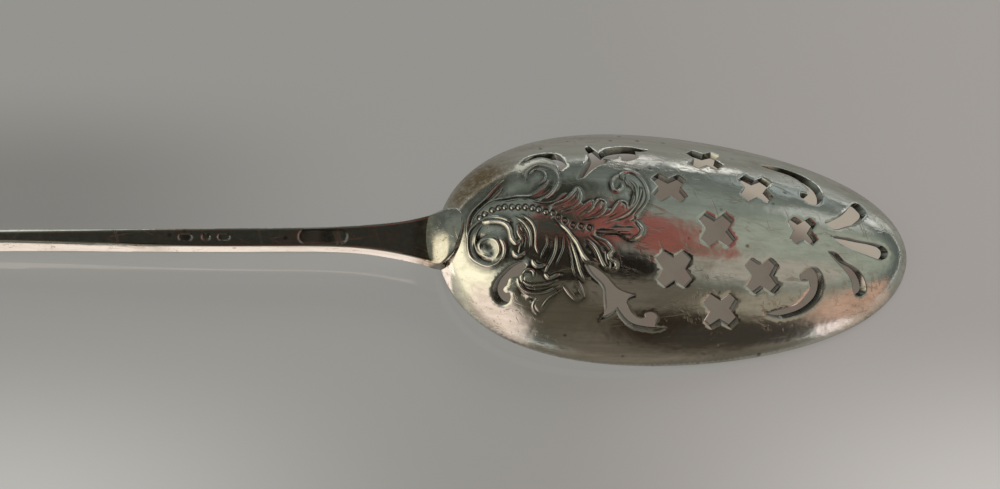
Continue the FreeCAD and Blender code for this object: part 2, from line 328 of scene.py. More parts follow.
bowlLook = {
    "length": 38.0,
    "width": 19.6,
    "depth": 5.6,
    "sheet": 0.6,
    "heelRise": 2.4,
    "heelFullness": 0.073,
    "sideFullness": 0.029,
    "heelDepthBias": 0.115,
    "archRoundness": 2.25,
    "archPower": 0.9,
    "fineStep": 0.056,
    "wideStep": 0.27,
    "innerStep": 0.45,
    "outlineStep": 0.1,
    "edgeWear": 0.035,  # how far the edges of piercings are worn down
    "edgeWearReach": 0.09,
    "edgeFade": 0.12,  # how far from an edge the relief has its full height
    # how much darker the outer edges of the piercings are made
    "edgeDarkening": 0.3,
    "fineReach": 0.36,  # how far the fine mesh goes beside the ornament, and where the wide one begins
    "wideReach": 0.46,
    "fineGap": 0.045,
    "wideGap": 0.17,
    "innerGap": 0.2,
    # how much darker the walls of the piercings are made
    "wallDarkening": 0.85,
    "stains": [(1.1, 3.6, 5.0, 2.4, 1.9), (0.7, 1.8, 3.0, 1.5, 1.3)],  # strength, place and reach
}


def swell(turn):
    wave = np.sin(turn) + bowlLook["heelFullness"] * np.sin(2 * turn)
    return wave + bowlLook["sideFullness"] * np.sin(3 * turn)


greatestSwell = swell(np.linspace(0, math.pi, 2000)).max()


def halfWidth(turn, inset=0.0):
    return (bowlLook["width"] / 2 - inset) * swell(turn) / greatestSwell


def crestHeight(turn, inset=0.0):
    return (bowlLook["depth"] - inset) * (np.sin(turn) + bowlLook["heelDepthBias"] * np.sin(2 * turn))


def arch(share):
    return np.maximum(1 - np.abs(share) ** bowlLook["archRoundness"], 0) ** bowlLook["archPower"]


def bowlPoints(turn, share, inset=0.0):  # turn goes from heel to tip, share is of the half width
    x = inset + (bowlLook["length"] - 2 * inset) * (1 - np.cos(turn)) / 2
    rim = bowlLook["heelRise"] * np.cos(math.pi / 2 * np.clip(x / bowlLook["length"], 0, 1)) ** 2
    return np.stack([x, share * halfWidth(turn, inset), rim + crestHeight(turn, inset) * arch(share)], -1)


def bowlNormals(turn, share):
    step = 1e-4
    lengthwise = bowlPoints(turn + step, share) - bowlPoints(turn - step, share)
    size = np.clip(np.abs(share), 1e-4, 0.9985)
    slope = -bowlLook["archPower"] * bowlLook["archRoundness"] * size ** (bowlLook["archRoundness"] - 1) \
        * (1 - size ** bowlLook["archRoundness"]) ** (bowlLook["archPower"] - 1)
    ratio = crestHeight(turn) / halfWidth(turn)
    crosswise = np.stack([np.zeros_like(turn), np.ones_like(turn), ratio * slope * np.sign(share)], -1)
    normal = np.cross(lengthwise, crosswise)
    return normal / np.linalg.norm(normal, axis=1)[:, None]


turnTable = np.linspace(0, math.pi, 1500)
crestTable = np.concatenate([[0], np.cumsum(np.linalg.norm(
    np.diff(bowlPoints(turnTable, np.zeros(1500)), axis=0), axis=1))])
profileSteps = np.linspace(0, 1, 90)


def unroll(turn, share):  # lays the bowl flat: length along the crest, and across from it
    turn = np.asarray(turn, float)
    share = np.asarray(share, float)
    angle = np.arcsin(np.clip(share, -1, 1))[:, None] * profileSteps
    y = halfWidth(turn)[:, None] * np.sin(angle)
    z = crestHeight(turn)[:, None] * arch(np.sin(angle))
    across = np.hypot(np.diff(y, axis=1), np.diff(z, axis=1)).sum(1) * np.sign(share)
    return np.stack([np.interp(turn, turnTable, crestTable), across], 1)


def rollUp(flat):  # the reverse of unroll
    turn = np.interp(flat[:, 0], crestTable, turnTable)
    share = np.zeros(len(flat))
    angle = profileSteps * math.pi / 2
    for start in range(0, len(flat), 20000):
        part = slice(start, start + 20000)
        y = halfWidth(turn[part])[:, None] * np.sin(angle)
        z = crestHeight(turn[part])[:, None] * arch(np.sin(angle))
        run = np.cumsum(np.hypot(np.diff(y, axis=1), np.diff(z, axis=1)), axis=1)
        run = np.concatenate([np.zeros((len(y), 1)), run], 1)
        wanted = np.abs(flat[part, 1])
        index = np.clip((run < wanted[:, None]).sum(1) - 1, 0, len(angle) - 2)
        rows = np.arange(len(y))
        low, high = run[rows, index], run[rows, index + 1]
        between = np.clip((wanted - low) / np.maximum(high - low, 1e-9), 0, 1)
        mixed = angle[index] + (angle[1] - angle[0]) * between
        share[part] = np.sin(mixed) * np.sign(flat[part, 1])
    return turn, share


def fromPercent(places):  # from hundredths of the length and half width to places laid flat
    places = np.asarray(places, float)
    turn = np.arccos(1 - 2 * np.clip(places[:, 0] / 100, 0, 1))
    share = places[:, 1] / 100 * bowlLook["width"] / 2 / np.maximum(halfWidth(turn), 1e-6)
    return unroll(turn, np.clip(share, -1, 1))


# Each outline is a list of smooth stretches, with a corner where one stretch meets the next
crescent = [
    [(17.4, 58), (18.5, 64), (20.1, 67.5), (21.7, 68.8), (23.4, 69), (25.0, 67), (26.0, 62)],
    [(26.6, 53), (25.3, 49), (25.0, 54), (24.1, 60), (22.7, 64), (21.5, 65.2), (19.4, 62.5)],
]
heelScroll = [
    [(17.7, -33), (16.8, -30.6), (15.6, -31), (14.2, -33.3), (12.9, -37), (11.7, -41.4), (11.0, -46.2),
     (10.9, -50.4), (11.4, -54.6), (12.2, -57.8), (13.1, -59.2), (14.0, -58.7), (14.6, -55)],
    [(14.4, -51.6), (13.5, -51.2), (13.1, -48.8), (13.8, -46), (14.2, -42.2), (15.2, -41), (16.4, -39.8),
     (17.1, -36.4)],
]
lowerFleur = [
    [(29.6, -33.8), (31.2, -35.6), (32.5, -38.7), (33.9, -42.9), (35.2, -48.2), (36.3, -51.6), (37.6, -53.8)],
    [(40.1, -55.9), (39.0, -57), (38.1, -60.4), (38.3, -63), (39.6, -68.8), (41.4, -71.3), (42.2, -69.9)],
    [(42.1, -67.8), (43.5, -67), (44.7, -70.4), (44.2, -75.5)],
    [(46.5, -76.5), (44.9, -78.8), (42.1, -78.9), (39.2, -76.8), (37.0, -70.5)],
    [(36.0, -65.8), (34.9, -69.4)],
    [(32.7, -73.2), (33.7, -68), (33.6, -59.4), (33.2, -50.6), (32.2, -46.2), (30.9, -41.8)],
]
upperFleur = [
    [(28.8, 39.5), (29.5, 46.3), (30.5, 53.9), (31.3, 60.9), (31.6, 67.1), (31.4, 76.6)],
    [(32.1, 78.0), (32.9, 72.4)],
    [(33.7, 67.8), (34.8, 72.5), (36.6, 75.5), (39.0, 77.4), (40.9, 77.2), (42.5, 75.6)],
    [(44.4, 74.4), (42.6, 72.2)],
    [(41.6, 72.5), (41.5, 67.3), (41.0, 62.8), (39.7, 61.0)],
    [(38.4, 60.5), (38.6, 64.7), (38.0, 67.1), (37.3, 63.9), (36.2, 63.5)],
    [(35.0, 63.5), (34.5, 61.1), (35.5, 59.4)],
    [(35.0, 57.0), (33.7, 55.2), (32.3, 50.6), (31.0, 45.2), (29.8, 40.5)],
]
lowerTipScroll = [
    [(67.5, -63), (71.0, -64.4), (73.4, -62.3), (75.8, -58.7), (77.9, -53.3), (79.5, -45.9), (80.0, -38.3),
     (79.8, -31.2), (78.9, -26.3), (77.5, -25.2), (75.8, -28.7), (75.0, -32.6)],
    [(75.2, -36.3), (76.4, -35.8)],
    [(76.9, -35.1), (77.3, -39.9), (76.4, -45.9), (75.2, -51.2), (73.3, -55.5), (70.5, -58.8)],
]
upperRay = [
    [(81.2, 14.3), (83.4, 18.3), (85.4, 24.6), (87.0, 31.8)],
    [(87.8, 36.1), (89.2, 39.1), (90.2, 35.5), (90.9, 30.3), (89.6, 22.2), (87.9, 16.7), (85.2, 12.2),
     (83.0, 9.4)],
]
middleRay = [
    [(82.2, 2.9), (85.4, 3.0), (88.7, 2.0), (92.1, 1.4)],
    [(93.9, 0.5), (94.9, -2.6), (94.7, -7.9), (93.7, -11.1)],
    [(91.9, -10.9), (88.5, -8.0), (85.3, -4.4)],
]
lowerRay = [
    [(81.3, -10.5), (82.8, -10.8), (84.7, -17.1), (87.2, -21.3), (88.8, -26.5), (89.7, -33), (89.7, -38),
     (88.5, -41.8), (87.5, -41.6), (87.1, -38.7), (86.7, -33.4), (85.6, -26.7), (83.9, -20.8), (82.4, -15.2)],
]
upperTipScroll = [[(a + 1.2, -c + 5.0) for a, c in run] for run in lowerTipScroll]
crosses = [
    (57.3, -1.0, 3, 1.0), (76.0, 4.5, 2, 0.85), (47.7, 34.3, 0, 1.0), (48.0, -35.5, 3, 1.0),
    (66.5, 40.6, 1, 1.0), (66.8, -35.5, 5, 1.0), (56.4, 68.7, 3, 1.0), (58.0, -63.5, 5, 1.0),
]
crossLook = {"arm": 1.56, "armEnd": 0.86, "waist": 0.87}


def outlineLoop(stretches):
    loop = []
    for index, run in enumerate(stretches):
        following = stretches[(index + 1) % len(stretches)]
        loop.append(spline(fromPercent(run + [following[0]]), bowlLook["outlineStep"])[:-1])
    return np.concatenate(loop)


def crossLoop(along, across, turnDegrees, ratio):
    centre = fromPercent([(along, across)])[0]
    corners = []
    for quarter in range(4):
        arm = math.radians(45 + 90 * quarter + turnDegrees)
        gap = arm + math.radians(45)
        reach = np.array([math.cos(arm), math.sin(arm)]) * crossLook["arm"]
        side = np.array([-math.sin(arm), math.cos(arm)]) * crossLook["armEnd"] / 2
        notch = np.array([math.cos(gap), math.sin(gap)]) * crossLook["waist"]
        corners += [reach - side, reach + side, notch]
    corners = centre + np.array(corners) * ratio
    sides = zip(corners, np.roll(corners, -1, axis=0))
    return np.concatenate([spline(side, bowlLook["outlineStep"])[:-1] for side in sides])


rimTurns = np.linspace(0.012, math.pi - 0.012, 330)
rimLoop = np.concatenate([unroll(rimTurns, np.ones(330)), unroll(rimTurns[::-1], -np.ones(330))])
holeLoops = [outlineLoop(s) for s in (crescent, heelScroll, lowerFleur, upperFleur, lowerTipScroll,
                                      upperTipScroll, upperRay, middleRay, lowerRay)]
holeLoops += [crossLoop(*place) for place in crosses]

# Chased ridges: half width, height, breadth and height of the swelling below, places in hundredths
ridges = {
    "bandOuter": (0.11, 0.10, 0.35, 0.06, [(13.5, 41.2), (12.7, 37.5), (11.6, 33.1), (9.9, 25.3), (8.1, 19.1),
        (6.6, 12.0), (6.0, 3.8), (5.9, -6.3)]),
    "bandInner": (0.08, 0.07, 0.3, 0.05, [(13.4, 34.9), (12.6, 28.4), (10.7, 22.8), (8.8, 16.6), (7.4, 10.4),
        (6.7, 3.1)]),
    "archUpper": (0.08, 0.07, 0.3, 0.06, [(9.5, 18.9), (11.1, 22.5), (13.7, 23.4), (16.7, 24.1), (18.9, 23.9),
        (20.8, 28.1), (22.1, 33.7), (22.8, 39.6)]),
    "archLower": (0.08, 0.06, 0.3, 0.06, [(12.7, 20.7), (15.1, 21.4), (17.7, 21.9), (20.1, 18.1),
        (22.3, 16.8), (24.2, 19.2), (25.4, 23.7), (26.3, 25.5)]),
    "upperVolute": (0.1, 0.08, 0.35, 0.08, [(20.1, 18.1), (22.2, 22.2), (23.7, 28.6), (24.6, 36.3),
        (24.4, 45.6), (23.1, 52.5), (21.3, 54.8), (19.6, 52.5), (18.3, 46.3), (18.2, 39.9)]),
    "upperEye": (0.1, 0.07, 0.3, 0.06, [(20.9, 35.0), (22.0, 38.8), (22.1, 45.0), (21.2, 49.7), (19.8, 49.1),
        (19.0, 43.8)]),
    "lowerVolute": (0.12, 0.12, 0.38, 0.1, [(14.9, 2.0), (12.5, 6.8), (10.0, 7.7), (7.9, 3.9), (6.5, -1.8),
        (6.1, -12.1), (6.7, -21.9), (8.2, -27.5), (10.2, -30.9), (12.2, -28.9), (13.2, -23.3), (13.2, -16.3),
        (12.4, -10.4)]),
    "lowerVoluteInner": (0.08, 0.07, 0.28, 0.05, [(8.9, 2.3), (7.9, -3.7), (7.5, -11.6), (8.0, -19.1),
        (9.2, -22.9), (10.4, -24.3)]),
    "lowerEye": (0.1, 0.1, 0.35, 0.1, [(8.4, -17.8), (8.4, -13.1), (9.3, -10.4), (10.4, -9.8), (11.6, -12.0),
        (12.2, -16.7), (12.2, -21.4), (11.6, -24.9)]),
    "scrollLip": (0.17, 0.2, 0.4, 0.12, [(9.3, 4.7), (10.7, 4.3), (12.1, 3.6), (13.3, 1.8), (14.3, -2.8),
        (14.6, -8.0), (15.0, -13.0), (15.8, -15.6), (16.6, -13.5)]),
    "fingerA": (0.09, 0.1, 0.16, 0.03, [(15.5, 6.1), (16.7, 3.1), (17.7, -1.4), (18.5, -8.2), (18.6, -15.6),
        (18.4, -21.1)]),
    "fingerB": (0.09, 0.1, 0.16, 0.03, [(17.0, 7.3), (18.5, 2.6), (19.5, -5.1), (19.6, -14.2), (19.6, -19.8),
        (20.2, -25.3)]),
    "fingerC": (0.1, 0.1, 0.16, 0.03, [(16.1, -1.8), (16.2, -8.5), (16.8, -13.5), (16.4, -19.8),
        (16.2, -24.4)]),
    "fingerTip": (0.16, 0.22, 0.3, 0.12, [(15.2, -22.5), (15.6, -25.3), (16.6, -25.6), (17.6, -23.2)]),
    "fingerD": (0.09, 0.1, 0.16, 0.03, [(21.7, -10.5), (21.8, -17.8), (21.0, -23.9), (20.6, -29.2)]),
    "fingerDTip": (0.15, 0.2, 0.3, 0.12, [(19.0, -29.6), (19.4, -33.5), (20.6, -34.5), (21.8, -33.2)]),
    "fingerE": (0.1, 0.11, 0.16, 0.03, [(23.7, -11.6), (23.6, -20.4), (23.0, -28.1), (22.0, -34.7),
        (21.4, -39.7)]),
    "fingerETip": (0.15, 0.2, 0.3, 0.12, [(21.4, -39.7), (22.2, -43.5), (23.4, -42.2), (24.6, -40.9)]),
    "fingerF": (0.08, 0.08, 0.16, 0.03, [(25.1, -11.7), (25.1, -21.3), (24.4, -28.2), (23.6, -34.9)]),
    "fingerG": (0.09, 0.1, 0.16, 0.03, [(25.7, -8.5), (26.7, -15.8), (27.3, -23.0), (27.9, -30.7),
        (28.3, -36.7), (29.3, -45.5)]),
    "fingerH": (0.08, 0.08, 0.16, 0.03, [(26.1, -19.8), (26.7, -27.6), (26.9, -35.2), (27.5, -42.5)]),
    "mainRib": (0.11, 0.17, 0.4, 0.12, [(24.6, -1.7), (25.8, -6.0), (26.7, -11.0), (27.7, -15.9),
        (28.5, -22.2), (29.3, -27.7), (30.5, -32.3)]),
    "lowLeafEdge": (0.11, 0.12, 0.3, 0.1, [(31.0, -11.0), (32.2, -13.4), (33.7, -15.8), (34.7, -19.7),
        (35.1, -22.8), (34.4, -26.0), (34.8, -30.6), (35.8, -32.8), (35.8, -35.8), (34.6, -37.4)]),
    "lowLeafRib": (0.12, 0.13, 0.3, 0.1, [(30.0, -15.1), (31.4, -19.9), (32.4, -26.9), (33.0, -32.2),
        (33.8, -36.7)]),
    "greatLeafTop": (0.15, 0.14, 0.4, 0.12, [(37.6, 44.2), (39.3, 46.6), (40.9, 44.3), (42.3, 37.5),
        (42.9, 29.8), (43.0, 22.3), (41.8, 13.1), (40.7, 7.7), (39.9, 2.4)]),
    "greatLeafFoot": (0.15, 0.14, 0.4, 0.12, [(39.9, 2.4), (40.8, -1.7), (41.4, -5.8), (40.9, -10.0),
        (39.9, -12.7), (38.6, -14.5)]),
    "greatLeafCurl": (0.09, 0.08, 0.3, 0.08, [(37.6, 44.2), (36.2, 39.4), (35.7, 32.4), (36.4, 27.7),
        (37.5, 29.8), (37.8, 35.7)]),
    "greatLeafRib": (0.09, 0.05, 0.3, 0.1, [(41.5, 33.4), (41.4, 23.9), (40.4, 15.5), (38.6, 8.2),
        (36.1, 2.7), (33.4, -0.9)]),
    "greatLeafLow": (0.08, 0.05, 0.3, 0.06, [(39.3, -7.0), (36.8, -7.3), (33.7, -8.4), (31.5, -8.5)]),
    "greatLeafFold": (0.09, 0.03, 0.3, 0.04, [(39.1, 38.9), (40.3, 33.1), (40.6, 25.6), (40.2, 17.3),
        (39.3, 12.7)]),
    "topLeafA": (0.1, 0.1, 0.3, 0.08, [(22.7, 14.0), (24.8, 17.4), (26.9, 22.7), (28.6, 29.2), (29.1, 24.5),
        (28.9, 18.1), (27.6, 12.7), (25.1, 8.5)]),
    "topLeafB": (0.08, 0.08, 0.28, 0.08, [(27.1, 7.5), (29.0, 11.8), (30.5, 16.3), (31.5, 17.6), (31.5, 12.8),
        (30.2, 8.3), (28.3, 4.0)]),
    "topLeafC": (0.1, 0.1, 0.3, 0.08, [(29.3, 6.6), (31.2, 11.0), (32.8, 19.1), (33.8, 18.2), (34.1, 12.9),
        (33.2, 6.8), (31.4, 3.2), (28.7, 1.5)]),
    "topLeafD": (0.09, 0.09, 0.28, 0.08, [(32.8, 4.2), (34.9, 7.8), (36.2, 14.9), (37.3, 18.2), (38.3, 17.0),
        (38.5, 11.7)]),
    "lowScrollCurl": (0.1, 0.09, 0.28, 0.08, [(19.2, -41.4), (19.0, -37.8), (18.0, -36.5), (16.8, -39.4),
        (16.8, -43.7), (18.0, -46.8), (20.4, -47.4), (22.6, -46.4), (24.0, -44.4)]),
    "lowScrollLip": (0.11, 0.11, 0.28, 0.08, [(16.0, -42.7), (16.4, -47.7), (17.6, -51.5), (19.7, -53.4),
        (22.1, -52.5), (24.1, -49.4)]),
    "spikeLeft": (0.08, 0.07, 0.2, 0.06, [(19.7, -57.4), (19.1, -61.3), (19.4, -65.2), (20.0, -67.3)]),
    "spikeRight": (0.08, 0.07, 0.2, 0.06, [(24.9, -51.5), (23.3, -54.8), (21.7, -59.2), (20.7, -64.3)]),
    "tongueLeft": (0.08, 0.08, 0.2, 0.06, [(24.9, -48.0), (25.7, -52.3), (26.7, -56.5), (27.8, -60.0)]),
    "tongueRight": (0.08, 0.08, 0.2, 0.06, [(27.9, -45.4), (28.9, -51.1), (29.4, -58.0)]),
}
grooves = {
    "veinTopA": (0.05, 0.05, [(24.3, 10.5), (26.2, 15.5), (27.6, 20.5), (28.5, 26.5)]),
    "veinTopB": (0.05, 0.05, [(28.2, 5.6), (29.8, 10.0), (31.2, 15.6)]),
    "veinTopC": (0.05, 0.05, [(30.2, 3.8), (32.2, 8.0), (33.4, 13.0), (33.4, 17.4)]),
    "veinTopD": (0.05, 0.05, [(33.8, 2.4), (36.0, 7.0), (37.4, 12.0), (37.6, 16.4)]),
    "veinGreatA": (0.05, 0.055, [(35.4, 0.6), (38.2, 4.4), (39.9, 10.5), (41.2, 20.0), (41.9, 28.5)]),
    "veinGreatB": (0.05, 0.055, [(35.0, -2.6), (38.0, 0.0), (40.0, 3.6), (41.2, 9.0)]),
    "veinGreatC": (0.05, 0.05, [(34.0, -5.0), (37.4, -4.4), (40.2, -4.2)]),
    "veinGreatD": (0.05, 0.05, [(38.8, 18.5), (39.2, 24.0), (38.9, 31.0), (38.4, 38.5), (38.6, 43.5)]),
    "veinLow": (0.05, 0.05, [(30.8, -13.0), (32.6, -18.0), (33.8, -24.0), (34.0, -31.0), (34.6, -35.4)]),
    "veinLowB": (0.05, 0.05, [(29.6, -17.5), (30.8, -23.0), (31.8, -29.5), (32.6, -33.5)]),
    "lowScrollGroove": (0.09, 0.1, [(16.0, -49.0), (16.7, -53.2), (18.3, -57.1), (20.1, -57.5)]),
    "underLeaf": (0.1, 0.045, [(33.0, -10.5), (36.0, -10.2), (38.5, -10.5), (39.8, -9.0)]),
    "insideVolute": (0.16, 0.1, [(9.6, -6.2), (8.3, -8.4), (7.6, -14.2), (8.2, -20.8), (9.6, -26.4),
        (11.2, -27.4)]),
    "voluteEye": (0.17, 0.12, [(9.9, -14.6), (10.8, -17.6), (11.0, -21.0)]),
}
neighbours = [  # ridges with two fine lines chased between them
    ("fingerA", "fingerB"), ("fingerC", "fingerA"), ("fingerD", "fingerE"), ("fingerE", "fingerF"),
    ("fingerG", "fingerH"), ("fingerG", "mainRib"), ("archUpper", "archLower"), ("bandOuter", "bandInner"),
    ("lowScrollCurl", "lowScrollLip"), ("tongueLeft", "tongueRight"),
]
beads = [
    (8.6, 8.6), (9.6, 11.5), (11.1, 14.2), (12.4, 15.3), (13.6, 15.6), (15.1, 15.0), (16.4, 14.5),
    (17.8, 14.1), (19.2, 12.9), (20.4, 11.3), (21.8, 8.9), (23.2, 7.4), (24.3, 3.8), (25.6, 0.8),
    (27.2, -3.1), (28.8, -4.0), (30.5, -5.2),
]
leafBody = [
    (22.7, 14.0), (24.8, 17.4), (28.6, 29.2), (29.1, 22.0), (29.5, 15.0), (31.5, 17.6), (31.7, 13.0),
    (33.2, 19.1), (34.4, 12.0), (36.2, 14.9), (37.3, 18.2), (38.6, 14.0), (39.6, 20.0), (40.0, 30.0),
    (37.6, 44.2), (39.3, 46.6), (42.3, 37.5), (43.0, 22.3), (41.8, 13.1), (39.9, 2.4), (41.4, -5.8),
    (38.6, -14.5), (36.0, -8.4), (31.6, -9.0), (33.7, -15.8), (35.1, -22.8), (34.8, -30.6), (34.6, -37.4),
    (32.8, -34.0), (30.5, -32.3), (28.5, -22.2), (26.7, -11.0), (24.6, -1.7), (23.0, 5.0),
]
fingerBody = [
    (14.5, 5.0), (19.0, 6.5), (22.5, 0.0), (24.5, -3.0), (26.5, -12.0), (28.5, -30.0), (29.3, -45.5),
    (27.4, -40.0), (25.0, -38.0), (23.0, -43.5), (21.3, -40.0), (20.5, -34.0), (18.6, -30.0), (16.6, -26.0),
    (15.2, -24.0), (14.6, -10.0), (15.5, -3.0),
]
scrollBody = [
    (16.0, -42.7), (17.2, -37.5), (19.2, -37.0), (24.5, -44.0), (28.0, -45.0), (29.4, -58.0), (27.8, -60.0),
    (24.9, -50.5), (20.4, -66.0), (18.4, -57.5), (16.2, -49.0),
]
reliefLook = {
    "lengths": (2.5, 47),  # where the chased part begins and ends, in hundredths of the length
    "sides": (-8.4, 7.0),
    "cell": 0.035,
    "pathStep": 0.06,
    "ridgeWidth": 0.52,  # shares of the sizes that the list of ridges gives
    "ridgeHeight": 0.45,
    "swellingHeight": 0.75,
    "flankPlace": 2.3,  # chased line beside each ridge, in ridge widths
    "flankDepth": 0.022,
    "beadRadius": 0.175,
    "beadHeight": 0.05,
    "leafHeight": 0.07,
    "taper": 0.45,
    "sootHeight": 0.06,
    "sootBlur": 5,  # cells
    # outline, share of the height, cells that its edge takes
    "bodies": ((leafBody, 1.0, 2), (fingerBody, 0.5, 5), (scrollBody, 0.6, 4)),
    "neighbourLine": (0.05, 0.045),
}


def blurred(picture, cells):
    steps = np.arange(-3 * cells, 3 * cells + 1)
    kernel = np.exp(-(steps / cells) ** 2)
    kernel /= kernel.sum()
    for axis in (0, 1):
        picture = np.apply_along_axis(lambda row: np.convolve(row, kernel, mode="same"), axis, picture)
    return picture


def chasedPath(places):
    return spline(fromPercent(places), reliefLook["pathStep"])


def chasedLines():
    lines = [(width, depth, chasedPath(places)) for width, depth, places in grooves.values()]
    steps = np.linspace(0.08, 0.94, 40)
    for names in neighbours:
        paths = []
        for name in names:
            path = chasedPath(ridges[name][-1])
            run = np.linspace(0, 1, len(path))
            paths.append(np.stack([np.interp(steps, run, path[:, k]) for k in (0, 1)], 1))
        for share in (0.36, 0.66):
            lines.append((*reliefLook["neighbourLine"], paths[0] + (paths[1] - paths[0]) * share))
    return lines


def chaseRelief():
    cell = reliefLook["cell"]
    low, high = (np.array([fromPercent([(percent, 0)])[0, 0], side])
                 for percent, side in zip(reliefLook["lengths"], reliefLook["sides"]))
    columns = np.arange(low[0], high[0], cell)
    rows = np.arange(low[1], high[1], cell)
    cells = np.stack(np.meshgrid(columns, rows, indexing="ij"), -1).reshape(-1, 2)
    ridgeTop = np.zeros(len(cells))
    swelling = np.zeros(len(cells))
    flank = np.zeros(len(cells))
    nearAny = np.full(len(cells), 9.0)
    for width, height, breadth, lift, places in ridges.values():
        d, run, total = pathDistance(cells, chasedPath(places), 1.2)
        ends = np.clip(np.minimum(run, total - run) / reliefLook["taper"], 0.1, 1) ** 0.6
        width *= reliefLook["ridgeWidth"]
        ridge = height * reliefLook["ridgeHeight"] * ends * np.exp(-(d / width) ** 2)
        ridgeTop = np.maximum(ridgeTop, ridge)
        lift *= reliefLook["swellingHeight"]
        rounded = 0.5 + 0.5 * np.cos(math.pi * np.minimum(d / breadth, 1))
        swelling = np.maximum(swelling, lift * ends * rounded)
        flank = np.maximum(flank, ends * np.exp(-((d / width - reliefLook["flankPlace"]) / 0.9) ** 2))
        nearAny = np.minimum(nearAny, d)
    body = np.zeros(len(cells))
    for outline, lift, softness in reliefLook["bodies"]:
        inside = insideLoop(cells, spline(fromPercent(outline + outline[:1]), 0.2)[:-1])
        inside = blurred(inside.astype(float).reshape(len(columns), len(rows)), softness).reshape(-1)
        body = np.maximum(body, inside * lift)
    flank *= np.clip(1 - ridgeTop / 0.03, 0, 1)
    height = ridgeTop + np.maximum(swelling, body * reliefLook["leafHeight"])
    height -= flank * reliefLook["flankDepth"]
    for width, depth, path in chasedLines():
        d, run, total = pathDistance(cells, path, 0.6)
        ends = np.clip(np.minimum(run, total - run) / reliefLook["taper"], 0.2, 1)
        height -= depth * ends * np.exp(-(d / width) ** 2)
    radius = reliefLook["beadRadius"]
    for centre in fromPercent(beads):
        d = np.linalg.norm(cells - centre, axis=1)
        cap = reliefLook["beadHeight"] * np.sqrt(np.clip(1 - (d / radius) ** 2, 0, 1))
        ring = 0.055 * np.exp(-((d - radius * 1.15) / 0.06) ** 2)
        height = np.where(d < radius, np.maximum(height * 0.3, cap), height - ring)
        nearAny = np.minimum(nearAny, d)
    picture = height.reshape(len(columns), len(rows))
    hollow = np.clip((blurred(picture, reliefLook["sootBlur"]) - picture) / 0.022, 0, 1)
    nearAny = nearAny.reshape(picture.shape)
    floorSoot = smooth(0.55, 0.2, nearAny) * smooth(reliefLook["sootHeight"], 0.0, picture)
    soot = np.clip(0.75 * hollow + 0.3 * floorSoot, 0, 1)
    return low, blurred(picture, 1), blurred(soot, 1), nearAny


def sampleGrid(picture, flat, outside):
    place = (flat - reliefLow) / reliefLook["cell"]
    index = np.floor(place).astype(int)
    good = ((index >= 0) & (index < np.array(picture.shape) - 1)).all(1)
    i, j = index[good].T
    u, v = (place[good] - index[good]).T
    values = np.full(len(flat), float(outside))
    values[good] = picture[i, j] * (1 - u) * (1 - v) + picture[i + 1, j] * u * (1 - v) \
        + picture[i, j + 1] * (1 - u) * v + picture[i + 1, j + 1] * u * v
    return values


# corner of the grid, then height, soot and distance to the ornament in each cell
reliefLow, reliefPicture, sootPicture, reliefNear = chaseRelief()
print("ornament chased")


def flatGrid(step):
    rows = []
    for index, s in enumerate(np.arange(step / 2, crestTable[-1], step * 0.87)):
        turn = np.interp(s, crestTable, turnTable)
        edge = abs(unroll([turn], [1.0])[0, 1])
        across = np.arange(-edge + (index % 2) * step / 2, edge, step)
        rows.append(np.stack([np.full(len(across), s), across], 1))
    return np.concatenate(rows)


def loopDistance(points, reach):
    best = np.full(len(points), float(reach))
    for loop in [rimLoop] + holeLoops:
        best = np.minimum(best, pathDistance(points, np.concatenate([loop, loop[:1]]), reach)[0])
    return best


def onSheet(points, loops):
    inside = insideLoop(points, loops[0])
    for loop in loops[1:]:
        inside &= ~insideLoop(points, loop)
    return inside


def triangulate(loops, points):
    places = np.concatenate(loops + [points])  # the loops' places come first, in their own order
    edges = []
    start = 0
    for loop in loops:
        edges += [(start + k, start + (k + 1) % len(loop)) for k in range(len(loop))]
        start += len(loop)
    made = geometry.delaunay_2d_cdt([Vector(p) for p in places.tolist()], edges, [], 0, 1e-7, True)
    flat = np.array([tuple(v) for v in made[0]])
    newIndex = np.zeros(len(places), int)
    for index, sources in enumerate(made[3]):
        for source in sources:
            newIndex[source] = index
    faces = np.array([f for f in made[2] if len(f) == 3])
    return flat, faces[onSheet(flat[faces].mean(1), loops)], newIndex[:start]


def wornRings(loops, reach):
    rings = []
    for loop in loops:
        ahead = np.roll(loop, -1, axis=0) - np.roll(loop, 1, axis=0)
        normal = np.stack([ahead[:, 1], -ahead[:, 0]], 1) / np.linalg.norm(ahead, axis=1)[:, None]
        rings += [loop + normal * reach, loop - normal * reach]
    return np.concatenate(rings)


